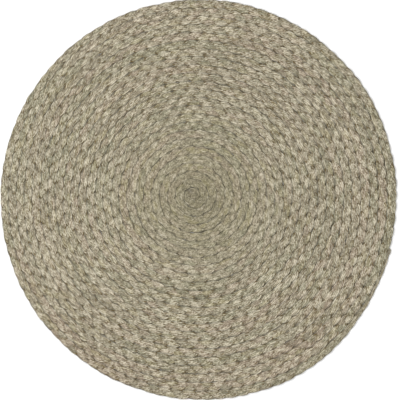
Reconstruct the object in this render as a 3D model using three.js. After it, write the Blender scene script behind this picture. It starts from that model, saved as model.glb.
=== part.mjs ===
// Round braided jute rug: one flat three-strand braid, coiled from the middle outwards.
// Millimetres, +Z up. The origin is under the middle of the rug, on the floor.
import * as THREE from "three";

// Driving dimensions
const RUG_DIAMETER = 1200;
const RUG_THICKNESS = 11;
const BRAID_WIDTH = 24.5;
const SEAM_GAP = 0.3; // between the edges of neighbouring turns
const STRAND_GAP = 0.3; // between strands where they cross
const THREAD_GAP = 0.3; // round a thread that touches the braid
const TAIL_ANGLE = -15; // degrees, where the braid ends at the rim
const START_OFFSET = [-18, 13.5]; // where the coil is started, from the rug's middle
const TAIL_TAPER = 380; // length of braid that narrows towards the bound tail
const START_TAPER = 60; // length of braid that narrows towards the bound start
const LACING_WIDTH = 1.9;
const WHIPPING_THICKNESS = 1.2;
const START_WHIPPING_LENGTH = 9;
const END_WHIPPING_LENGTH = 16;
const END_MARGIN = 3; // braid that sticks out past each whipping

// The braid is cut into stations, and everything runs straight between two stations.
const STATIONS_PER_TURN = 25; // so that the crossings of one turn lie off those of the next
const STATIONS_PER_PLAIT = 6;
const STRAND_COUNT = 3;

// Where a strand's centre lies at each station of a plait, as shares of its swing. On the upper face
// the strands run from the edges towards the middle as the braid grows.
const SWING_ACROSS = [0.5, 1, 0.5, -0.5, -1, -0.5];
const SWING_UP = [-1, 0, 1, -1, 0, 1];

// A strand has a diamond section half as wide as its swing and as high as its swing, so that two
// strands slide past each other face to face. The section is then shrunk by the gap.
const facingHeight = (width, height) => (width * height) / Math.hypot(width, height);
const sectionShare = 1 - STRAND_GAP / 2 / facingHeight(BRAID_WIDTH / 6, RUG_THICKNESS / 4);
const swingAcross = BRAID_WIDTH / (2 + sectionShare);
const swingUp = RUG_THICKNESS / (2 + 2 * sectionShare);
const strandHalfWidth = (sectionShare * swingAcross) / 2;
const strandHalfHeight = sectionShare * swingUp;

// The coil is a spiral that grows by one pitch each turn.
const rugRadius = RUG_DIAMETER / 2;
const pitch = BRAID_WIDTH + SEAM_GAP;
const fullTurn = 2 * Math.PI;
const turns = rugRadius / pitch - 0.5;
const stationCount = Math.round(turns * STATIONS_PER_TURN);
const tailAngle = THREE.MathUtils.degToRad(TAIL_ANGLE);

// The outline of a spiral is a circle about a point pitch / pi off the spiral's own centre, towards a
// quarter turn before its end. The last turns are centred so that this circle is the rug's.
const rimOffset = [-Math.sin(tailAngle), Math.cos(tailAngle)].map((share) => (share * pitch) / Math.PI);

const angleAt = (station) => tailAngle + ((station - stationCount) / STATIONS_PER_TURN) * fullTurn;
const radiusAt = (station) => pitch * (station / STATIONS_PER_TURN + 0.5);

// Length of braid from its start to a station, which is the spiral's own length to within a few mm.
const lengthAt = (station) =>
  (fullTurn * pitch * ((station / STATIONS_PER_TURN + 0.5) ** 2 - 0.25)) / 2;
const stationAt = (length) =>
  STATIONS_PER_TURN * (Math.sqrt(0.25 + (2 * length) / (fullTurn * pitch)) - 0.5);
const braidLength = lengthAt(stationCount);

// A bound end is drawn in until its whipping is as thick as the rug, and it swells to the full braid
// along its taper. Lengths beyond the whipping are counted from its inner end.
const boundShare = 1 - (THREAD_GAP + WHIPPING_THICKNESS) / (RUG_THICKNESS / 2);
const startBound = END_MARGIN + START_WHIPPING_LENGTH;
const tailBound = END_MARGIN + END_WHIPPING_LENGTH;
const swell = (length, taper) =>
  THREE.MathUtils.lerp(boundShare, 1, THREE.MathUtils.smoothstep(length, 0, taper));
const startSwell = (station) => swell(lengthAt(station) - startBound, START_TAPER);
const tailSwell = (station) => swell(braidLength - lengthAt(station) - tailBound, TAIL_TAPER);
const fullness = (station) => Math.min(startSwell(station), tailSwell(station));

// A point beside the centreline of the coil at a whole station. The tail keeps as near to the turn
// inside it as its whipping lets it.
function stationPoint(station, across, up) {
  const tuck = ((1 - tailSwell(station)) * (BRAID_WIDTH - RUG_THICKNESS)) / 2;
  const angle = angleAt(station);
  const radius = radiusAt(station) - tuck + across;
  const outwards = (radius / rugRadius) ** 2;
  return new THREE.Vector3(
    radius * Math.cos(angle) + THREE.MathUtils.lerp(START_OFFSET[0], rimOffset[0], outwards),
    radius * Math.sin(angle) + THREE.MathUtils.lerp(START_OFFSET[1], rimOffset[1], outwards),
    RUG_THICKNESS / 2 + up,
  );
}

// The same point at any place along the braid, straight between the two nearest stations.
function braidPoint(station, across, up) {
  const before = Math.min(Math.floor(station), stationCount - 1);
  const point = stationPoint(before, across, up);
  return point.lerp(stationPoint(before + 1, across, up), station - before);
}

// Carries a flat section along the braid: place(along, across, up) gives each of its points, with
// along going from 0 to steps. The section's x runs across the braid and its y upwards.
function carried(name, material, section, steps, place) {
  const geometry = new THREE.ExtrudeGeometry(section, { depth: steps, steps, bevelEnabled: false });
  const position = geometry.getAttribute("position");
  for (let i = 0; i < position.count; i += 1) {
    // The braid runs against the extrusion's depth, so that the faces stay turned outwards.
    const point = place(steps - position.getZ(i), position.getX(i), position.getY(i));
    position.setXYZ(i, point.x, point.y, point.z);
  }
  geometry.computeVertexNormals();
  const mesh = new THREE.Mesh(geometry, material);
  mesh.name = name;
  return mesh;
}

const outline = (points) => new THREE.Shape(points.map(([x, y]) => new THREE.Vector2(x, y)));

function strand(index, material) {
  const lag = (index * STATIONS_PER_PLAIT) / STRAND_COUNT;
  const section = outline([
    [strandHalfWidth, 0],
    [0, strandHalfHeight],
    [-strandHalfWidth, 0],
    [0, -strandHalfHeight],
  ]);
  return carried(`strand_${index + 1}`, material, section, stationCount, (station, x, y) => {
    const beat = (Math.round(station) + lag) % STATIONS_PER_PLAIT;
    const share = fullness(station);
    const across = share * (swingAcross * SWING_ACROSS[beat] + x);
    return stationPoint(station, across, share * (swingUp * SWING_UP[beat] + y));
  });
}

// The lacing thread lies in the seam between two turns, just above their widest points, from where
// the braid has its full width to where the tail ends beside the turn inside it.
function lacingThread(material) {
  const first = Math.ceil(stationAt(startBound + START_TAPER));
  const steps = stationCount - STATIONS_PER_TURN - first;
  const height = LACING_WIDTH * Math.sin(Math.PI / 3);
  const section = outline([
    [0, THREAD_GAP],
    [LACING_WIDTH / 2, THREAD_GAP + height],
    [-LACING_WIDTH / 2, THREAD_GAP + height],
  ]);
  return carried("lacing_thread", material, section, steps, (along, x, y) =>
    stationPoint(first + along, pitch / 2 + x, y),
  );
}

// A whipping is a six-sided sleeve wound round a bound end of the braid, flat above and below.
function whipping(name, material, start, end) {
  const hexagon = (grown) => {
    const halfWidth = (boundShare * BRAID_WIDTH) / 2 + grown;
    const halfHeight = (boundShare * RUG_THICKNESS) / 2 + grown;
    return [
      [halfWidth, 0],
      [halfWidth / 2, halfHeight],
      [-halfWidth / 2, halfHeight],
      [-halfWidth, 0],
      [-halfWidth / 2, -halfHeight],
      [halfWidth / 2, -halfHeight],
    ];
  };
  const section = outline(hexagon(THREAD_GAP + WHIPPING_THICKNESS));
  section.holes.push(outline(hexagon(THREAD_GAP)));
  const stations = [stationAt(start), stationAt(end)];
  for (let whole = Math.floor(stations[0]) + 1; whole < stations.at(-1); whole += 1) {
    stations.splice(-1, 0, whole);
  }
  return carried(name, material, section, stations.length - 1, (along, x, y) =>
    braidPoint(stations[Math.round(along)], x, y),
  );
}

const jute = (color) => new THREE.MeshStandardMaterial({ color, roughness: 0.92, metalness: 0 });
const strandJute = ["#a89f88", "#a39a82", "#ada38c"].map(jute);
const threadJute = jute("#8f866d");

const rug = new THREE.Group();
for (let index = 0; index < STRAND_COUNT; index += 1) {
  rug.add(strand(index, strandJute[index]));
}
rug.add(lacingThread(threadJute));
rug.add(whipping("start_whipping", threadJute, END_MARGIN, startBound));
rug.add(whipping("end_whipping", threadJute, braidLength - tailBound, braidLength - END_MARGIN));

// The rug is centred on its own outline, with its underside at height 0.
const box = new THREE.Box3().setFromObject(rug);
const middle = box.getCenter(new THREE.Vector3());
rug.position.set(-middle.x, -middle.y, -box.min.z);

export default rug;
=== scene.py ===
"""Round braided jute rug, laid flat.

One flat three-strand braid is coiled from the middle outwards. Each strand is a bundle of jute
yarns, carried along the coil at its real plait length. A thread laces neighbouring turns together,
and a whipping binds each end of the braid. Everything is in metres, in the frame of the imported
model.
"""

import math

import bpy
import numpy as np
from bpy.props import FloatProperty, FloatVectorProperty, IntProperty, PointerProperty
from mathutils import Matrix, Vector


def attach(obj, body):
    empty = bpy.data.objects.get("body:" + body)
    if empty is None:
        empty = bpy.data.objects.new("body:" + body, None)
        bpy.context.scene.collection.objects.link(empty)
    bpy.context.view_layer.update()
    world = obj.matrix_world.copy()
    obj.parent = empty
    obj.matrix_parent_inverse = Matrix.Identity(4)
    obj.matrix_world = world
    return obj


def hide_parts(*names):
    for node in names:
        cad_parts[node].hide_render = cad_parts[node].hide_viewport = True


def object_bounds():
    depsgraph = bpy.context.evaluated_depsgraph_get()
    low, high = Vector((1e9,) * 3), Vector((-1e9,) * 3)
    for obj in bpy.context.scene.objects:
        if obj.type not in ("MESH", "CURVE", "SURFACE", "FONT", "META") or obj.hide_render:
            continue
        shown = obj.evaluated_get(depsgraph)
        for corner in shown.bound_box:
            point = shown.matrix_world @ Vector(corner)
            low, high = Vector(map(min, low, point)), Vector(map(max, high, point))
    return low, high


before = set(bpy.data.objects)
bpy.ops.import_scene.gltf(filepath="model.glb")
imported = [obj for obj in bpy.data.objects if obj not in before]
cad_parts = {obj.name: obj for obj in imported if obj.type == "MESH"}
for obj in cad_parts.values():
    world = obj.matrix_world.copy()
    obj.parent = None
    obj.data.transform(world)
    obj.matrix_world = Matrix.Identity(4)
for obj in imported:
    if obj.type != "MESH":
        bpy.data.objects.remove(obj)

cad_low, cad_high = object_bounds()

bl_info = {
    "name": "Braided Jute Rug",
    "version": (1, 0, 0),
    "blender": (4, 5, 0),
    "location": "3D View > Sidebar > Rug",
    "description": "Makes a round rug coiled from a three-strand jute braid",
    "category": "Add Mesh",
}

TURN = 2 * math.pi
STRANDS = 3
LEAD_IN = 0.05  # wandering values begin this far before the braid's start, to take in its curl


# Sizes and colours --------------------------------------------------------------------------------


def size(name, description, default):
    """A length in metres."""
    return FloatProperty(
        name=name, description=description, default=default, min=0, unit="LENGTH", precision=4
    )


def offset(name, description, default):
    """A length in metres that may be less than 0."""
    return FloatProperty(
        name=name, description=description, default=default, unit="LENGTH", precision=4
    )


def share(name, description, default):
    """A plain number, mostly from 0 to 1."""
    return FloatProperty(name=name, description=description, default=default)


def watts(name, description, default):
    """The power of a lamp."""
    return FloatProperty(
        name=name, description=description, default=default, min=0, unit="POWER"
    )


def colour(name, description, default):
    """A linear RGB colour."""
    return FloatVectorProperty(
        name=name, description=description, default=default, subtype="COLOR", size=3, min=0, max=1
    )


class RugSizes(bpy.types.PropertyGroup):
    thickness: size("Thickness", "Height of the rug", cad_high.z - cad_low.z)
    braid_width: size("Braid width", "Width of the flat braid", 0.0245)
    seam_gap: size("Seam gap", "Gap between neighbouring turns", 0.0003)
    turns: share("Turns", "Turns of the braid from its first end to its tail", 23.68)
    rim_radius: size("Rim radius", "Radius of the rug's outline", 0.6)
    tail_angle: FloatProperty(
        name="Tail angle",
        description="Where the braid ends",
        default=math.radians(-15),
        unit="ROTATION",
    )
    start_x: offset("Start X", "Where the coil starts, from the middle of the rim", -0.018)
    start_y: offset("Start Y", "Where the coil starts, from the middle of the rim", 0.0135)
    bound_share: share("Bound share", "Width of the bound start as a share of the braid", 0.727)
    bound_height: share("Bound height", "Least height of the braid as a share of the rug's", 0.55)
    tail_share: share("Tail share", "Width of the bound tail as a share of the braid", 0.22)
    curl: size("Curl", "Length of braid curled up inside the bound start", 0.0480)
    start_bound: size("Bound start", "Length of braid held by the first whipping", 0.012)
    tail_bound: size("Bound tail", "Length of braid held by the last whipping", 0.019)
    start_taper: size("Start taper", "Length over which the braid swells from its start", 0.060)
    tail_taper: size("Tail taper", "Length over which the braid narrows to its tail", 0.50)
    tail_end: size("Tail end", "Length of the tail's rounded end", 0.003)
    waver: size("Waver", "How far the turns stray from a true spiral", 0.0016)


class StrandSizes(bpy.types.PropertyGroup):
    plait_centre: size("Plait at centre", "Length of a strand's full swing at the centre", 0.101)
    plait_middle: size("Plait half-way", "Length of a strand's full swing half-way out", 0.118)
    plait_rim: size("Plait at rim", "Length of a strand's full swing at the rim", 0.108)
    reach: size("Reach", "How far a strand's outer side lies from the braid's middle", 0.0124)
    bulge: size("Bulge", "How much further out its side lies between edge and middle", 0.0010)
    inner: size("Inner side", "How far a strand at the edge reaches over the middle", 0.0035)
    snap: share("Snap", "How much faster a strand crosses than it rounds the edge", 0.45)
    spread: share("Spread", "Swing above which a strand's side keeps to the edge", 0.40)
    spread_power: share("Spread power", "How gently a strand's side leaves the edge", 1.3)
    half_height: size("Half height", "Half the height of a strand on its way across", 0.0025)
    edge_growth: share("Edge growth", "How much taller a strand is at the braid's edge", 0.45)
    lean: share("Lean", "Slope of a strand's section where it dives at the middle", 0.36)
    yarns: IntProperty(name="Yarns", description="Yarns round a strand", default=9, min=3, max=12)
    yarn_depth: share("Yarn depth", "Depth of the grooves between yarns, as a share", 0.3)
    twist_length: size("Twist length", "Length in which a strand's yarns wind round once", 0.260)
    looseness: size("Looseness", "How far a strand's sides stray from their even path", 0.0009)


class ThreadSizes(bpy.types.PropertyGroup):
    lacing_radius: size("Lacing radius", "Half the thickness of the lacing thread", 0.0009)
    stitch_length: size("Stitch length", "Length of seam taken by one zigzag stitch", 0.034)
    stitch_reach: size("Stitch reach", "How far a stitch goes into each turn", 0.0022)
    stitch_height: offset("Stitch height", "Height of the lacing above mid-braid", 0.0)
    whipping_radius: size("Whipping radius", "Half the thickness of the whipping thread", 0.0006)
    margin: size("Margin", "Braid that sticks out past a whipping", 0.003)


class JuteColours(bpy.types.PropertyGroup):
    jute: colour("Jute", "Plain undyed jute", (0.40, 0.359, 0.264))
    # Painted highlight: besides pale fibres, this colour lightens the crowns of the plaits, as
    # where light falls on them.
    pale: colour("Pale jute", "Dry fibres on the crowns of the plaits", (0.52, 0.476, 0.367))
    green: colour("Green lot", "Greener lots of fibre", (0.355, 0.338, 0.238))
    pink: colour("Pink lot", "Warmer, pinkish lots of fibre", (0.42, 0.345, 0.26))
    straw: colour("Straw lot", "Yellower lots of fibre", (0.42, 0.370, 0.207))
    # Painted shade: the colour that jute takes down between the yarns, on the strands' hidden sides
    # and where they sink to mid-braid.
    painted_shade_jute: colour("Deep jute", "Shaded fibre down between the yarns", (0.128, 0.086, 0.026))
    thread: colour("Thread", "Spun jute thread", (0.22, 0.19, 0.13))


class StageSettings(bpy.types.PropertyGroup):
    floor: colour("Floor", "Pale floor", (0.93, 0.93, 0.93))
    floor_size: size("Floor size", "Side of the floor", 12.0)
    camera_height: size("Camera height", "Height of the camera above the rug", 6.0)
    view_width: size("View width", "Width of floor that the camera sees", 1.2018)
    sky: share("Sky", "Strength of the even light from all round", 0.38)
    lamp: watts("Lamp", "Power of the soft overhead lamp", 95)
    side_lamp: watts("Side lamp", "Power of the soft side lamp", 30)


# Coil ---------------------------------------------------------------------------------------------

CURL_SPIN = 2  # turns on the spot for each further length of the curl
CURL_LEAST = 0.7  # the curl's width stops falling where this share of its turn is left
TAIL_LEAST = 0.1  # the rounded end stops falling where this share of its length is left
TAIL_TUCK = 0.46  # how far the tail moves inwards, as a share of the width that it has lost
START_PUSH = 0.28  # how far the start moves outwards, as a share of the width that it lacks
RIM_TURNS = 1.2  # turns that make up the rug's outline
RIM_POINTS = 3000
WAVER_LENGTHS = (0.11, 0.17, 0.26, 0.4)  # from crest to crest of the turns' waver
WAVER_SEED = 11


def ease(x):
    """Goes from 0 to 1 as x does, level at both ends: 3 x^2 - 2 x^3."""
    x = np.clip(x, 0, 1)
    return x * x * (3 - 2 * x)


def wander(along, spacing, seed):
    """Smooth random numbers from -1 to 1 along a line, eased between knots spacing apart."""
    at = np.maximum(along + LEAD_IN, 0) / spacing
    knot = np.floor(at).astype(int)
    values = np.random.default_rng(seed).uniform(-1, 1, int(knot.max()) + 2)
    return values[knot] + (values[knot + 1] - values[knot]) * ease(at - knot)


class Coil:
    """The spiral that the braid follows, grown by one pitch each turn, with its tapered ends."""

    def __init__(self, sizes):
        self.sizes = sizes
        self.pitch = sizes.braid_width + sizes.seam_gap
        self.length = self.length_at(sizes.turns)
        # The outline of a spiral is a circle about a point pitch / pi off the spiral's centre.
        # Everything is moved by the middle of that outline, so that the rug lies about the origin.
        tail = sizes.tail_angle
        self.rim = np.array([-math.sin(tail), math.cos(tail)]) * self.pitch / math.pi
        self.start = np.array([sizes.start_x, sizes.start_y])
        self.middle = np.zeros(2)
        last = np.linspace(self.length_at(sizes.turns - RIM_TURNS), self.length, RIM_POINTS)
        edge = self.place(last, self.fullness(last) * sizes.braid_width / 2, 0 * last)
        self.middle = (edge.min(axis=0) + edge.max(axis=0))[:2] / 2

    def length_at(self, turn):
        """Length of braid from its start: pi pitch ((turn + 1/2)^2 - 1/4)."""
        return math.pi * self.pitch * ((turn + 0.5) ** 2 - 0.25)

    def turn_at(self, along):
        """The turn that a length of braid reaches: length_at turned round. Before the start it is
        the same for the curl, which closes on the centre in one turn of half the pitch. What is
        left of the braid then turns on the spot."""
        reached = along / (math.pi * self.pitch)
        spiral = np.sqrt(np.maximum(0.25 + reached, 0)) - 0.5
        left = 1 + 2 * reached
        curl = np.sqrt(np.maximum(left, 0)) - 1 + CURL_SPIN * np.minimum(left, 0)
        return np.where(along < 0, curl, spiral)

    def start_swell(self, along):
        """From the bound share at the first whipping to 1 where the braid is full. In the curl it
        falls as the square root of the turn that is left."""
        s = self.sizes
        swell = s.bound_share + (1 - s.bound_share) * ease((along - s.start_bound) / s.start_taper)
        return swell * np.sqrt(np.clip(self.turn_at(along) + 1, CURL_LEAST, 1))

    def tail_swell(self, along):
        """From 1 where the braid is full to the tail share at the last whipping. The very end is
        rounded off as the square root of what is left."""
        s = self.sizes
        left = self.length - along
        swell = s.tail_share + (1 - s.tail_share) * ease((left - s.tail_bound) / s.tail_taper)
        return swell * np.sqrt(np.clip(left / s.tail_end, TAIL_LEAST, 1))

    def fullness(self, along):
        """The braid's width as a share of its full width: the lesser of the two swells."""
        return np.minimum(self.start_swell(along), self.tail_swell(along))

    def place(self, along, across, up):
        """Points beside the centreline: radius pitch (turn + 1/2) + across at the turn's angle, or
        pitch (turn + 1) / 2 + across in the curl, about a centre that slides from the start of the
        coil to the rim's as the square of the radius. The tail keeps beside the turn inside it, and
        the narrow start beside the turn outside it."""
        s = self.sizes
        turn = self.turn_at(along)
        tuck = (1 - self.tail_swell(along)) * s.braid_width * TAIL_TUCK
        narrow = 1 - ease((along - s.start_bound) / s.start_taper)
        lacks = narrow * (1 - s.bound_share)
        push = lacks * s.braid_width * START_PUSH * np.clip(turn + 1, 0, 1)
        rings = np.where(turn < 0, np.maximum(turn + 1, 0) / 2, turn + 0.5)
        radius = self.pitch * rings + push - tuck + across
        angle = s.tail_angle + (turn - s.turns) * TURN
        outwards = (radius / s.rim_radius)[:, None] ** 2
        centre = self.start + (self.rim - self.start) * outwards - self.middle
        flat = centre + radius[:, None] * np.stack([np.cos(angle), np.sin(angle)], axis=1)
        return np.column_stack([flat + self.stray(flat), s.thickness / 2 + up])

    def stray(self, flat):
        """Slow sideways waver of the turns: a few plane waves of random heading, summed."""
        draw = np.random.default_rng(WAVER_SEED)
        moved = np.zeros_like(flat)
        for length in WAVER_LENGTHS:
            heading, push, phase = draw.uniform(0, TURN, 3)
            wave = flat @ np.array([math.cos(heading), math.sin(heading)]) * TURN / length + phase
            moved += np.sin(wave)[:, None] * np.array([math.cos(push), math.sin(push)])
        return moved * self.sizes.waver / len(WAVER_LENGTHS)


# Tubes --------------------------------------------------------------------------------------------

ATLAS_MARGIN = 0.04  # between the rows of an unrolled tube, as a share of a row
CAP_RADIUS = 0.002  # of a tube's two end faces in the UV square
CAP_CENTRE = 0.997


def tube_faces(rings, sides):
    """Quads between neighbouring rings of a tube, as corner numbers. Their faces point inwards."""
    ring, side = np.meshgrid(np.arange(rings - 1), np.arange(sides), indexing="ij")
    here, after = ring * sides + side, ring * sides + (side + 1) % sides
    return np.stack([here, after, after + sides, here + sides], axis=-1).reshape(-1, 4)


def atlas(rings, sides, run, girth):
    """Corner UVs of a tube, unrolled and cut into rows that fill a square. A row is as long as the
    square's side, and the rows lie one above the other with a margin between them. A corner is at
    (ring / rings in a row, (row + side / sides) / rows)."""
    rows = max(1, int(round(math.sqrt(run / girth))))
    per_row = math.ceil((rings - 1) / rows)
    ring, side = np.meshgrid(np.arange(rings - 1), np.arange(sides), indexing="ij")
    row, at = ring // per_row, ring % per_row
    margin = ATLAS_MARGIN
    corners = []
    for more_side, more_ring in ((0, 0), (1, 0), (1, 1), (0, 1)):
        u = (at + more_ring) / per_row * (1 - 2 * margin / rows) + margin / rows
        v = (row + margin + (side + more_side) / sides * (1 - 2 * margin)) / rows
        corners.append(np.stack([u, v], axis=-1))
    return np.stack(corners, axis=2).reshape(-1, 2)


def tube_mesh(name, points, sides, attributes, run, girth, material):
    """A closed tube from rings of points. Each end is one flat face with a sharp rim, so that the
    tube's shading runs on smoothly from one length to the next."""
    rings = len(points) // sides
    quads = tube_faces(rings, sides)
    first, last = np.arange(sides)[::-1], np.arange(sides) + (rings - 1) * sides
    corners = np.concatenate([quads.ravel(), first, last]).astype(np.int32)
    totals = np.full(len(quads) + 2, 4, np.int32)
    totals[-2:] = sides
    mesh = bpy.data.meshes.new(name)
    mesh.vertices.add(len(points))
    mesh.vertices.foreach_set("co", points.astype(np.float32).ravel())
    mesh.loops.add(len(corners))
    mesh.loops.foreach_set("vertex_index", corners)
    mesh.polygons.add(len(totals))
    starts = np.concatenate([[0], np.cumsum(totals)[:-1]]).astype(np.int32)
    mesh.polygons.foreach_set("loop_start", starts)
    smooth = np.ones(len(totals), bool)
    smooth[-2:] = False
    mesh.polygons.foreach_set("use_smooth", smooth)
    mesh.update(calc_edges=True)
    ends = np.empty(len(mesh.edges) * 2, np.int32)
    mesh.edges.foreach_get("vertices", ends)
    ends = ends.reshape(-1, 2)
    rim = (ends < sides).all(axis=1) | (ends >= (rings - 1) * sides).all(axis=1)
    sharp = mesh.attributes.new("sharp_edge", "BOOLEAN", "EDGE")
    sharp.data.foreach_set("value", rim)
    for key, values in attributes.items():
        layer = mesh.attributes.new(key, "FLOAT_VECTOR", "POINT")
        layer.data.foreach_set("vector", values.astype(np.float32).ravel())
    uv = mesh.uv_layers.new(name="OFBake")
    round_cap = np.linspace(0, TURN, sides, endpoint=False)
    cap = np.column_stack([np.cos(round_cap), np.sin(round_cap)]) * CAP_RADIUS + CAP_CENTRE
    spread = np.concatenate([atlas(rings, sides, run, girth), cap[::-1], cap])
    uv.data.foreach_set("uv", spread.astype(np.float32).ravel())
    mesh.materials.append(material)
    piece = bpy.data.objects.new(name, mesh)
    bpy.context.scene.collection.objects.link(piece)
    return piece


def finish_piece(piece, node):
    """Every piece lies still on the rug's one body and stands for its node."""
    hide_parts(node)
    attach(piece, "root")


# Shader maths -------------------------------------------------------------------------------------


class Wire:
    """A node's output, with shader maths as Python operators. A plain number may stand on either
    side of one."""

    def __init__(self, tree, socket):
        self.tree, self.socket = tree, socket

    def node(self, kind, settings=None, output=0, **sockets):
        """Adds any node: its settings first, then its sockets, by name, with _ for a space, or by
        number, as s0 for the first."""
        made = self.tree.nodes.new(kind)
        for key, value in (settings or {}).items():
            setattr(made, key, value)
        for key, value in sockets.items():
            numbered = key[1:].isdigit()
            target = made.inputs[int(key[1:]) if numbered else key.replace("_", " ")]
            if isinstance(value, Wire):
                self.tree.links.new(value.socket, target)
            else:
                target.default_value = value
        return Wire(self.tree, made.outputs[output])

    def maths(self, operation, a, b=0.0):
        """One Math node on two values."""
        return self.node("ShaderNodeMath", {"operation": operation}, s0=a, s1=b)

    def __add__(self, other):
        return self.maths("ADD", self, other)

    __radd__ = __add__

    def __mul__(self, other):
        return self.maths("MULTIPLY", self, other)

    __rmul__ = __mul__

    def __sub__(self, other):
        return self.maths("SUBTRACT", self, other)

    def __rsub__(self, other):
        return self.maths("SUBTRACT", other, self)

    def clamp(self):
        """The value held between 0 and 1."""
        return self.node("ShaderNodeClamp", s0=self)

    def between(self, low, high):
        """0 where the value is low or less, 1 where it is high or more, eased between them."""
        settings = {"interpolation_type": "SMOOTHSTEP"}
        return self.node("ShaderNodeMapRange", settings, s0=self, s1=low, s2=high, s3=0.0, s4=1.0)

    def about(self, middle, gain):
        """The value's distance from a middle, made stronger: (value - middle) times gain."""
        return (self - middle) * gain

    def scale(self, amount):
        """This colour made lighter or darker by an amount."""
        return self.node("ShaderNodeVectorMath", {"operation": "SCALE"}, s0=self, s3=amount)

    def mix(self, under, over):
        """The colour under where this value is 0, and over where it is 1."""
        settings = {"data_type": "RGBA"}
        return self.node("ShaderNodeMix", settings, 2, s0=self, s6=under, s7=over)


def rgba(values, gain=1.0):
    """A colour made lighter or darker by a gain, with full cover."""
    return (*[min(1.0, v * gain) for v in values], 1.0)


def new_material(name):
    """An empty node tree with a surface shader. It gives the material, the shader and a wire to
    add nodes with."""
    material = bpy.data.materials.new(name)
    material.use_nodes = True
    tree = material.node_tree
    tree.nodes.clear()
    shader = tree.nodes.new("ShaderNodeBsdfPrincipled")
    output = tree.nodes.new("ShaderNodeOutputMaterial")
    tree.links.new(shader.outputs["BSDF"], output.inputs["Surface"])
    return material, shader, Wire(tree, None)


def attribute(wire, name):
    """A vector attribute of the mesh, and its three numbers."""
    vector = wire.node("ShaderNodeAttribute", {"attribute_name": name}, 1)
    split = wire.node("ShaderNodeSeparateXYZ", s0=vector)
    outputs = split.socket.node.outputs
    return vector, [Wire(wire.tree, outputs[axis]) for axis in range(3)]


# Fibre noise: how many times a metre it changes along the strand and across it, and its detail.
FIBRE = (60, 2600, 3)
CLUMP = (125, 620, 2)
TUFT = (190, 290, 2)
LOT = (9, 60, 2)
SPUN_FIBRE = (120, 1400, 3)

# The rug grows plainer, yellower and darker from the inner radius to its middle, and darker still
# from the heart's. These are what the middle loses or gains at most.
INNER_RADIUS = 0.36
HEART_RADIUS = 0.11
INNER_PLAINNESS = 0.6
INNER_FINENESS = 0.02
INNER_STRAW = 0.6
INNER_DARKNESS = 0.31
HEART_DARKNESS = 0.13
# The share of the painted shade between the yarns that the middle loses.
INNER_FLATNESS = 0.9

GRAIN = 0.95
STRAW = 0.6
BRIGHTNESS = 1.26
SHADE = 1.05
MATT_SPECULAR = 0.25
OBJECT_COORDINATES = 3  # the output's place on the Texture Coordinate node


def streaks(wire, run, kind):
    """Fibre noise drawn out along the yarn: noise on the run vector, scaled less along than
    across."""
    along, across, detail = kind
    drawn_out = wire.node("ShaderNodeMapping", s0=run, s3=(along, across, across))
    return wire.node(
        "ShaderNodeTexNoise", Vector=drawn_out, Scale=1.0, Detail=detail, Roughness=0.6
    )


def join_shader(shader, base, rough, relief):
    """Feeds the shader's colour, roughness and relief, and makes it matt."""
    for name, wire in (("Base Color", base), ("Roughness", rough), ("Normal", relief)):
        wire.tree.links.new(wire.socket, shader.inputs[name])
    shader.inputs["Specular IOR Level"].default_value = MATT_SPECULAR


def jute_material(colours):
    """Undyed jute. The tone attribute holds lightness, hue and painted shade, and run holds the
    place on the yarn. Hue turns the plain colour pink or green, the lot turns it straw, and
    lightness and grain turn it pale; lightness takes in the painted highlight on the crowns.
    Painted shade, less where the grain stands up, then takes it to the colour of shaded jute."""
    material, shader, wire = new_material("braid_jute")
    run, _ = attribute(wire, "run")
    _, (light, hue, painted_shade) = attribute(wire, "tone")
    fibre, clump, tuft, lot = [streaks(wire, run, kind) for kind in (FIBRE, CLUMP, TUFT, LOT)]
    spot = wire.node("ShaderNodeTexCoord", output=OBJECT_COORDINATES)
    reach = wire.node("ShaderNodeVectorMath", {"operation": "LENGTH"}, 1, s0=spot)
    inner = 1 - reach.between(0.0, INNER_RADIUS)
    heart = 1 - reach.between(0.0, HEART_RADIUS)

    light = light * (1 - inner * INNER_PLAINNESS)
    grain = fibre.about(0.5, 1.1) + clump.about(0.5, 2.3) + tuft.about(0.5, 2.4)
    grain = grain * (GRAIN - inner * INNER_FINENESS)
    base = hue.between(0.1, 0.9).mix(rgba(colours.jute), rgba(colours.pink))
    base = (-1 * hue).between(0.1, 0.9).mix(base, rgba(colours.green))
    yellow = (lot.between(0.5, 0.7) * STRAW + inner * INNER_STRAW).clamp()
    base = yellow.mix(base, rgba(colours.straw))
    # The pale mix and the tint carry the painted highlight on the crowns, with the pale grain.
    pale = (light * 0.5 + grain).between(-0.1, 0.9)
    base = (pale * 0.8).mix(base, rgba(colours.pale))
    tint = (1 + grain * 0.5 + light * 0.2).between(0.2, 1.6)
    base = base.scale(tint * (BRIGHTNESS - inner * INNER_DARKNESS - heart * HEART_DARKNESS))
    # Painted shade: down between the yarns, on the strands' hidden sides and at mid-braid, the
    # colour turns to shaded jute.
    shade = (painted_shade - grain * 0.4) * (SHADE - inner * INNER_FLATNESS)
    base = shade.between(0.15, 1.15).mix(base, rgba(colours.painted_shade_jute))

    ridges = fibre * 0.6 + clump
    relief = wire.node("ShaderNodeBump", Strength=0.7, Distance=0.0008, Height=ridges)
    join_shader(shader, base, 0.86 + fibre * 0.12, relief)
    shader.inputs["Sheen Weight"].default_value = 0.12
    shader.inputs["Sheen Roughness"].default_value = 0.6
    return material


def thread_material(colours):
    """Spun jute thread: fine fibre from the thread's colour to a duller pale."""
    material, shader, wire = new_material("jute_thread")
    run, _ = attribute(wire, "run")
    _, (light, _, _) = attribute(wire, "tone")
    fibre = streaks(wire, run, SPUN_FIBRE)
    pale = (fibre + light * 0.3).between(0.3, 0.8)
    base = pale.mix(rgba(colours.thread), rgba(colours.pale, 0.6))
    relief = wire.node("ShaderNodeBump", Strength=0.5, Distance=0.0003, Height=fibre)
    join_shader(shader, base, 0.85 + fibre * 0.12, relief)
    return material


def material_of(name, make):
    """The material of that name, made once."""
    return bpy.data.materials.get(name) or make(bpy.context.scene.rug_colours)


# Strands ------------------------------------------------------------------------------------------

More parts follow.
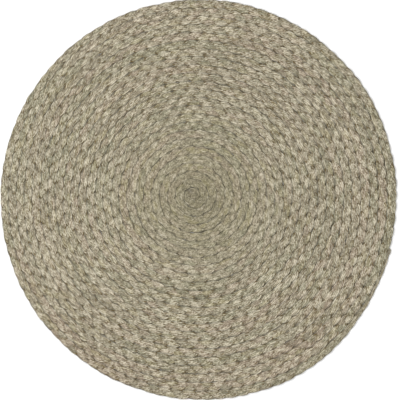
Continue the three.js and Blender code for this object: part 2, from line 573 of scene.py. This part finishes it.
STATIONS_PER_SWING = 20
TIGHT_SWINGS = 3  # swings in the tightest turns, which take closer stations
CLOSE_STATIONS_PER_SWING = 80
FINE_STATIONS = 40000  # where the length of a swing is worked out before the stations are laid
PLAIT_TURNS = (0.08, 0.35, 0.7, 0.95)  # shares of the turns where the plait's lengths are met
SIDES_PER_YARN = 3
CREST = 0.87  # how far a yarn's sides stand out of the groove between two yarns
LENGTHS = ("centre", "middle", "rim")
BOTTOM_PHASE = 0.625  # share of a swing at which a strand lies under the braid
HEIGHT_GAIN = 0.9  # how soon heights are held back as they near the rug's faces
HEIGHT_LIMIT = 1.01  # the height, on that scale, that is held at the face itself
WIDTH_SHOULDER = 0.97  # exponents that square off a strand's section, from 1 for an ellipse
HEIGHT_SHOULDER = 0.95
RUN_SHIFT = 60  # metres between the runs of two strands, so that their fibres differ
GIRTH = 2.3  # distance round a strand for each metre of its half width and half height together

# What wanders along a strand: the metres between its knots, and its seed.
PACE = (0.07, 1)
PLUS_SIDE = (0.03, 2)
MINUS_SIDE = (0.03, 3)
HEIGHT = (0.04, 4)
LOOSE_YARNS = (0.06, 10)
FAT_YARNS = (0.025, 30)
LONG_LOT = (0.35, 50)
SHORT_LOT = (0.04, 51)
LONG_HUE = (0.4, 52)
SHORT_HUE = (0.06, 53)
BRAID_LONG_HUE = (0.5, 40)  # these two are shared by the three strands
BRAID_SHORT_HUE = (0.14, 41)

# How far each of them goes.
PACE_PLAY = 0.03  # of a swing
HEIGHT_PLAY = 0.08  # of a strand's height
LOOSE_PLAY = 0.05  # of a strand's size, as is the next
FAT_PLAY = 0.04

# Painted shade: what makes a point deep, and so darker, where shade falls.
GROOVE_SHADE = 0.85  # down between two yarns
SUNK_SHADE = 0.2  # where the strand is at mid-braid
SUNK_SHARPNESS = 1.5
SIDE_SHADE = 1.05  # on the strand's sides
SIDE_SHARPNESS = 7
OPEN_SIDE = 0.85  # how much of that a side loses where it is the braid's own edge
OPEN_SHARPNESS = 1.6


def swing_stations(coil, strand):
    """Lengths along the braid at even steps of the strands' swing. The swing's own length goes from
    the centre's value to the middle's and on to the rim's, and the phase is the sum of
    step / length."""
    fine = np.linspace(-coil.sizes.curl, coil.length, FINE_STATIONS)
    turn_share = coil.turn_at(fine) / coil.sizes.turns
    lengths = [strand.plait_centre, strand.plait_middle, strand.plait_middle, strand.plait_rim]
    swing = np.interp(turn_share, PLAIT_TURNS, lengths)
    phase = np.concatenate([[0], np.cumsum(np.diff(fine) / swing[1:])])
    close = np.arange(0, TIGHT_SWINGS, 1 / CLOSE_STATIONS_PER_SWING)
    count = int((phase[-1] - TIGHT_SWINGS) * STATIONS_PER_SWING)
    steps = np.concatenate([close, np.linspace(TIGHT_SWINGS, phase[-1], count)])
    return np.interp(steps, phase, fine), steps


def side_reach(strand, swing):
    """How far one side of a strand lies from the braid's middle: at the edge while the swing is
    above the spread, then less and less by a power of what the swing lacks."""
    lacks = np.clip((strand.spread - swing) / (strand.spread + 1), 0, 1)
    return strand.reach - (strand.reach - strand.inner) * lacks**strand.spread_power


def power(values, exponent):
    """The values raised to an exponent, keeping their signs."""
    return np.sign(values) * np.abs(values) ** exponent


class Bundle:
    """One strand: a bundle of yarns carried along the coil. Rings of points stand at lengths along
    the braid, each at an angle p of the strand's swing. The points of a ring go round the bundle,
    three to a yarn, and wind slowly along it."""

    def __init__(self, coil, strand, index, along, phase):
        self.coil, self.strand, self.index, self.along = coil, strand, index, along
        self.angle = TURN * (phase + index / STRANDS + PACE_PLAY * self.wander(*PACE))
        sides = strand.yarns * SIDES_PER_YARN
        self.column = np.arange(sides) / sides * TURN
        self.round_yarn = self.column + (along / strand.twist_length * TURN)[:, None]
        self.crest = np.abs(np.sin(strand.yarns * self.column / 2))
        self.loose = self.yarn_wander(*LOOSE_YARNS)
        self.fat = self.yarn_wander(*FAT_YARNS)

    def wander(self, spacing, seed):
        """A wandering value of this strand, with a seed of its own."""
        return wander(self.along, spacing, 100 * (self.index + 1) + seed)

    def yarn_wander(self, spacing, seed):
        """A wandering value of each yarn, given for each point of a ring."""
        yarns = range(self.strand.yarns)
        values = np.stack([self.wander(spacing, seed + yarn) for yarn in yarns], axis=1)
        return np.repeat(values, SIDES_PER_YARN, axis=1)

    def path(self):
        """The bundle's middle and size at each ring, all to the measure of the braid there.

        Its two sides follow side_reach at opposite phases, so that it is narrow where it rounds the
        braid's edge and spreads as it crosses. Its middle rises and falls as -sin 2p. It is tallest
        at the edge, by 1 - growth cos 2p, and leans by -cos^3 p.
        """
        strand, angle = self.strand, self.angle
        full = self.coil.fullness(self.along)
        thick = np.maximum(full, self.coil.sizes.bound_height)
        bulge = strand.bulge * np.sin(2 * angle) ** 2
        swing = np.sin(angle + strand.snap * np.sin(2 * angle))
        plus = side_reach(strand, swing) + bulge + strand.looseness * self.wander(*PLUS_SIDE)
        minus = side_reach(strand, -swing) + bulge + strand.looseness * self.wander(*MINUS_SIDE)
        across, width = full * (plus - minus) / 2, full * (plus + minus) / 2
        room = self.coil.sizes.thickness / 2 - strand.half_height
        up = -thick * room * np.sin(2 * angle)
        height = thick * strand.half_height * (1 - strand.edge_growth * np.cos(2 * angle))
        height *= 1 + HEIGHT_PLAY * self.wander(*HEIGHT)
        lean = -strand.lean * np.cos(angle) ** 3
        return across, width, up, height, lean

    def surface(self):
        """Rings of points, and their heights above mid-braid as shares of its half thickness.

        A ring is a full-shouldered ellipse, ridged by the yarns and turned to the strand's heading.
        Heights are held within the rug's faces by a hyperbolic tangent.
        """
        across, width, up, height, lean = self.path()
        ridge = 1 + self.strand.yarn_depth * (self.crest - CREST)
        ridge = ridge + self.crest * (LOOSE_PLAY * self.loose + FAT_PLAY * self.fat)
        out = width[:, None] * ridge * power(np.cos(self.round_yarn), WIDTH_SHOULDER)
        rise = height[:, None] * ridge * power(np.sin(self.round_yarn), HEIGHT_SHOULDER)
        rise = rise + lean[:, None] * out
        half = self.coil.sizes.thickness / 2
        held = np.tanh((up[:, None] + rise) / half * HEIGHT_GAIN)
        high = half * held / math.tanh(HEIGHT_LIMIT)
        heading = np.arctan(np.gradient(across, self.along))
        reached = self.along[:, None] - np.sin(heading)[:, None] * out
        reached = np.clip(reached, -self.coil.sizes.curl, self.coil.length)
        points = self.coil.place(reached.ravel(), (across[:, None] + out).ravel(), high.ravel())
        return points, high / half

    def tone(self, high):
        """Lightness, hue and painted shade of each point: weighted sums of what wanders along the
        strand. Crowns are lighter: a painted highlight, by height. Painted shade is greatest down
        between yarns, on the side that dives under the next strand, and where the strand is at
        mid-braid."""
        lot = 0.5 * self.wander(*LONG_LOT) + 0.5 * self.wander(*SHORT_LOT)
        # Painted highlight: the higher a point stands, the lighter it is.
        painted_crown_highlight = ease(high) - 0.5
        light = 0.6 * lot[:, None] + 0.5 * self.loose + 0.5 * self.fat + 0.8 * painted_crown_highlight
        hue = 0.5 * wander(self.along, *BRAID_LONG_HUE) + 0.5 * wander(self.along, *BRAID_SHORT_HUE)
        hue = hue + 0.7 * self.wander(*LONG_HUE) + 0.4 * self.wander(*SHORT_HUE)
        hue = hue[:, None] + 0.4 * self.fat
        # Painted shade: darker down between the yarns, on a strand's sides unless they are the
        # braid's open edge, and where it sinks to mid-braid.
        facing = np.sin(self.angle)[:, None] * np.sign(np.cos(self.round_yarn))
        hidden = 1 - OPEN_SIDE * np.clip(OPEN_SHARPNESS * facing, 0, 1)
        side = np.abs(np.cos(self.round_yarn)) ** SIDE_SHARPNESS * hidden
        sunk = (1 - np.abs(np.sin(2 * self.angle)))[:, None] ** SUNK_SHARPNESS
        painted_shade = (CREST - self.crest) * GROOVE_SHADE + sunk * SUNK_SHADE + side * SIDE_SHADE
        return np.stack([light, hue, painted_shade], axis=-1).reshape(-1, 3)

    def run(self):
        """Where each point lies on the straightened strand: its length, and a circle round it."""
        shape = self.round_yarn.shape
        girth = self.strand.reach / 2
        parts = [
            self.along[:, None] + RUN_SHIFT * self.index,
            girth * np.cos(self.column),
            girth * np.sin(self.column),
        ]
        spread = [np.broadcast_to(part, shape) for part in parts]
        return np.stack(spread, axis=-1).reshape(-1, 3)


def make_strands(coil, strand, material):
    """The three strands. Each is one unbroken bundle, kept as three lengths of mesh that meet where
    the strand lies underneath."""
    along, phase = swing_stations(coil, strand)
    sides = strand.yarns * SIDES_PER_YARN
    girth = GIRTH * (strand.reach / 2 + strand.half_height)
    for index in range(STRANDS):
        bundle = Bundle(coil, strand, index, along, phase)
        points, high = bundle.surface()
        attributes = {"tone": bundle.tone(high), "run": bundle.run()}
        cuts = [0]
        for part in range(1, len(LENGTHS)):
            guess = phase[-1] * part / len(LENGTHS)
            whole = math.floor(guess) + BOTTOM_PHASE - index / STRANDS
            cuts.append(int(np.argmin(np.abs(phase - whole))))
        cuts.append(len(along) - 1)
        for part, where in enumerate(LENGTHS):
            first, last = cuts[part], cuts[part + 1]
            rows = slice(first * sides, (last + 1) * sides)
            piece = tube_mesh(
                f"strand_{index + 1}_{where}",
                points[rows],
                sides,
                {key: values[rows] for key, values in attributes.items()},
                along[last] - along[first],
                girth,
                material,
            )
            finish_piece(piece, f"strand_{index + 1}")


# Threads ------------------------------------------------------------------------------------------

THREAD_SIDES = 6
THREAD_LOT = 0.03  # metres between changes of a thread's lightness
LACING_SEED = 5
WHIPPING_SEED = 7
STATIONS_PER_STITCH = 10
STITCH_RISE = 0.0006  # how far a stitch swings up and down
STATIONS_PER_WRAP = 30
WRAP_SPACING = 2.05  # thread radii from one wrap of a whipping to the next
WRAP_ROOM = 1.5  # thread radii from the braid's side to the middle of a wrap
WRAP_ROUNDNESS = 0.75  # exponent that squares off a wrap's corners, from 1 for an ellipse


def thread_tube(name, centre, radius, seed, material):
    """A round thread along a line of points: each ring is radius (cos a, sin a) on two directions
    square to the line, the first of them level."""
    ahead = np.gradient(centre, axis=0)
    ahead /= np.linalg.norm(ahead, axis=1)[:, None]
    level = np.cross(ahead, [0.0, 0.0, 1.0])
    level /= np.maximum(np.linalg.norm(level, axis=1), 1e-9)[:, None]
    above = np.cross(level, ahead)
    column = np.arange(THREAD_SIDES) / THREAD_SIDES * TURN
    ring = level[:, None] * np.cos(column)[:, None] + above[:, None] * np.sin(column)[:, None]
    points = (centre[:, None] + radius * ring).reshape(-1, 3)
    steps = np.linalg.norm(np.diff(centre, axis=0), axis=1)
    along = np.concatenate([[0], np.cumsum(steps)])
    shape = (len(centre), THREAD_SIDES)
    run = [
        np.broadcast_to(along[:, None], shape),
        np.broadcast_to(radius * np.cos(column), shape),
        np.broadcast_to(radius * np.sin(column), shape),
    ]
    light = np.broadcast_to(wander(along, THREAD_LOT, seed)[:, None], shape)
    tone = np.stack([light, 0 * light, 0 * light], axis=-1).reshape(-1, 3)
    attributes = {"tone": tone, "run": np.stack(run, axis=-1).reshape(-1, 3)}
    return tube_mesh(name, points, THREAD_SIDES, attributes, along[-1], TURN * radius, material)


def make_lacing(coil, threads, material):
    """The lacing thread zigzags along the seam: it swings across it as sin p and up as cos 2p."""
    sizes = coil.sizes
    first = sizes.start_bound + sizes.start_taper
    last = coil.length_at(sizes.turns - 1) - sizes.tail_bound
    steps = int((last - first) / threads.stitch_length * STATIONS_PER_STITCH)
    along = np.linspace(first, last, steps)
    stitch = TURN * (along - first) / threads.stitch_length
    across = coil.pitch / 2 + threads.stitch_reach * np.sin(stitch)
    up = threads.stitch_height + STITCH_RISE * np.cos(2 * stitch)
    centre = coil.place(along, across, up)
    radius = threads.lacing_radius
    piece = thread_tube("lacing_stitches", centre, radius, LACING_SEED, material)
    finish_piece(piece, "lacing_thread")


def make_whipping(coil, threads, node, start, end, width_share, material):
    """A whipping is a helix of thread round the bound braid: (w cos a, h sin a) with its corners
    squared off, one thread's width further along for each turn."""
    sizes = coil.sizes
    r = threads.whipping_radius
    wraps = int((end - start) / (WRAP_SPACING * r))
    angle = np.linspace(0, wraps * TURN, wraps * STATIONS_PER_WRAP)
    along = np.linspace(start + r, end - r, len(angle))
    half_width = width_share * sizes.braid_width / 2 + WRAP_ROOM * r
    half_height = max(width_share, sizes.bound_height) * sizes.thickness / 2 + r
    across = half_width * power(np.cos(angle), WRAP_ROUNDNESS)
    up = half_height * power(np.sin(angle), WRAP_ROUNDNESS)
    centre = coil.place(along, across, up)
    piece = thread_tube(f"{node}_thread", centre, r, WHIPPING_SEED, material)
    finish_piece(piece, node)


# Stage --------------------------------------------------------------------------------------------

FLOOR_GAP = 0.0002  # between the floor and the rug's underside
OVERHEAD_LAMP = ((-0.9, 0.28, 3.0), 2.2)  # a lamp's place, and the length of its sides
SIDE_LAMP = ((2.6, -1.2, 1.7), 1.2)
CAMERA_PLACE = (0.0047, -0.0014)  # a little off the rug's middle
SENSOR_WIDTH = 36  # millimetres


def soft_lamp(name, place, side, energy):
    """A square lamp that faces the rug's middle."""
    data = bpy.data.lights.new(name, "AREA")
    data.shape, data.size, data.energy = "SQUARE", side, energy
    lamp = bpy.data.objects.new(name, data)
    lamp.location = place
    x, y, z = place
    lamp.rotation_euler = (math.atan2(math.hypot(x, y), z), 0, math.atan2(x, -y))
    bpy.context.scene.collection.objects.link(lamp)


def make_stage(stage):
    """A pale floor just under the rug, soft light, and a camera straight above it."""
    scene = bpy.context.scene
    half = stage.floor_size / 2
    floor_mesh = bpy.data.meshes.new("floor")
    level = cad_low.z - FLOOR_GAP
    corners = [(x * half, y * half, level) for x, y in ((-1, -1), (1, -1), (1, 1), (-1, 1))]
    floor_mesh.from_pydata(corners, [], [(0, 1, 2, 3)])
    material, shader, _ = new_material("floor")
    shader.inputs["Base Color"].default_value = rgba(stage.floor)
    shader.inputs["Roughness"].default_value = 0.9
    shader.inputs["Specular IOR Level"].default_value = 0.0
    floor_mesh.materials.append(material)
    floor = bpy.data.objects.new("floor", floor_mesh)
    scene.collection.objects.link(floor)

    world = bpy.data.worlds.new("studio")
    world.use_nodes = True
    background = world.node_tree.nodes["Background"]
    background.inputs["Color"].default_value = (1, 1, 1, 1)
    background.inputs["Strength"].default_value = stage.sky
    scene.world = world
    soft_lamp("overhead_lamp", *OVERHEAD_LAMP, stage.lamp)
    soft_lamp("side_lamp", *SIDE_LAMP, stage.side_lamp)

    camera = bpy.data.cameras.new("camera")
    camera.sensor_width = SENSOR_WIDTH
    camera.lens = camera.sensor_width * stage.camera_height / stage.view_width
    eye = bpy.data.objects.new("camera", camera)
    eye.location = (*CAMERA_PLACE, cad_high.z + stage.camera_height)
    scene.collection.objects.link(eye)
    scene.camera = eye
    scene.view_settings.view_transform = "Standard"


# Operators and panel ------------------------------------------------------------------------------


class RUG_OT_strands(bpy.types.Operator):
    """Make the three strands of the braid"""

    bl_idname = "rug.make_strands"
    bl_label = "Make Strands"

    def execute(self, context):
        scene = context.scene
        coil = Coil(scene.rug_sizes)
        make_strands(coil, scene.rug_strands, material_of("braid_jute", jute_material))
        return {"FINISHED"}


class RUG_OT_lacing(bpy.types.Operator):
    """Make the thread that laces the turns together"""

    bl_idname = "rug.make_lacing"
    bl_label = "Make Lacing"

    def execute(self, context):
        scene = context.scene
        coil = Coil(scene.rug_sizes)
        make_lacing(coil, scene.rug_threads, material_of("jute_thread", thread_material))
        return {"FINISHED"}


class RUG_OT_whippings(bpy.types.Operator):
    """Make the thread bindings at the two ends of the braid"""

    bl_idname = "rug.make_whippings"
    bl_label = "Make Whippings"

    def execute(self, context):
        scene = context.scene
        coil, threads = Coil(scene.rug_sizes), scene.rug_threads
        material = material_of("jute_thread", thread_material)
        margin = threads.margin
        sizes = coil.sizes
        end = sizes.start_bound
        make_whipping(coil, threads, "start_whipping", margin, end, sizes.bound_share, material)
        start, end = coil.length - sizes.tail_bound, coil.length - margin
        make_whipping(coil, threads, "end_whipping", start, end, sizes.tail_share, material)
        return {"FINISHED"}


class RUG_OT_stage(bpy.types.Operator):
    """Make the floor, the lights and the camera"""

    bl_idname = "rug.make_stage"
    bl_label = "Make Stage"

    def execute(self, context):
        make_stage(context.scene.rug_stage)
        return {"FINISHED"}


class RUG_PT_panel(bpy.types.Panel):
    """Lists the rug's sizes, colours and makers"""

    bl_label = "Braided Jute Rug"
    bl_idname = "RUG_PT_panel"
    bl_space_type = "VIEW_3D"
    bl_region_type = "UI"
    bl_category = "Rug"

    def draw(self, context):
        for group, makers in PANEL_ROWS:
            box = self.layout.box()
            settings = getattr(context.scene, group)
            for key in settings.__annotations__:
                box.prop(settings, key)
            for operator in makers:
                box.operator(operator)


PANEL_ROWS = (
    ("rug_sizes", ()),
    ("rug_strands", ("rug.make_strands",)),
    ("rug_threads", ("rug.make_lacing", "rug.make_whippings")),
    ("rug_colours", ()),
    ("rug_stage", ("rug.make_stage",)),
)
GROUPS = {
    "rug_sizes": RugSizes,
    "rug_strands": StrandSizes,
    "rug_threads": ThreadSizes,
    "rug_colours": JuteColours,
    "rug_stage": StageSettings,
}
OPERATORS = (RUG_OT_strands, RUG_OT_lacing, RUG_OT_whippings, RUG_OT_stage)


def register():
    """Registers the classes, and gives the scene one of each group of settings."""
    for cls in (*GROUPS.values(), *OPERATORS, RUG_PT_panel):
        bpy.utils.register_class(cls)
    for key, group in GROUPS.items():
        setattr(bpy.types.Scene, key, PointerProperty(type=group))


def unregister():
    """Takes away what register added."""
    for key in GROUPS:
        delattr(bpy.types.Scene, key)
    for cls in reversed((*GROUPS.values(), *OPERATORS, RUG_PT_panel)):
        bpy.utils.unregister_class(cls)


def main():
    """Makes the whole rug and its stage."""
    register()
    bpy.ops.rug.make_strands()
    bpy.ops.rug.make_lacing()
    bpy.ops.rug.make_whippings()
    bpy.ops.rug.make_stage()


if __name__ == "__main__":
    main()
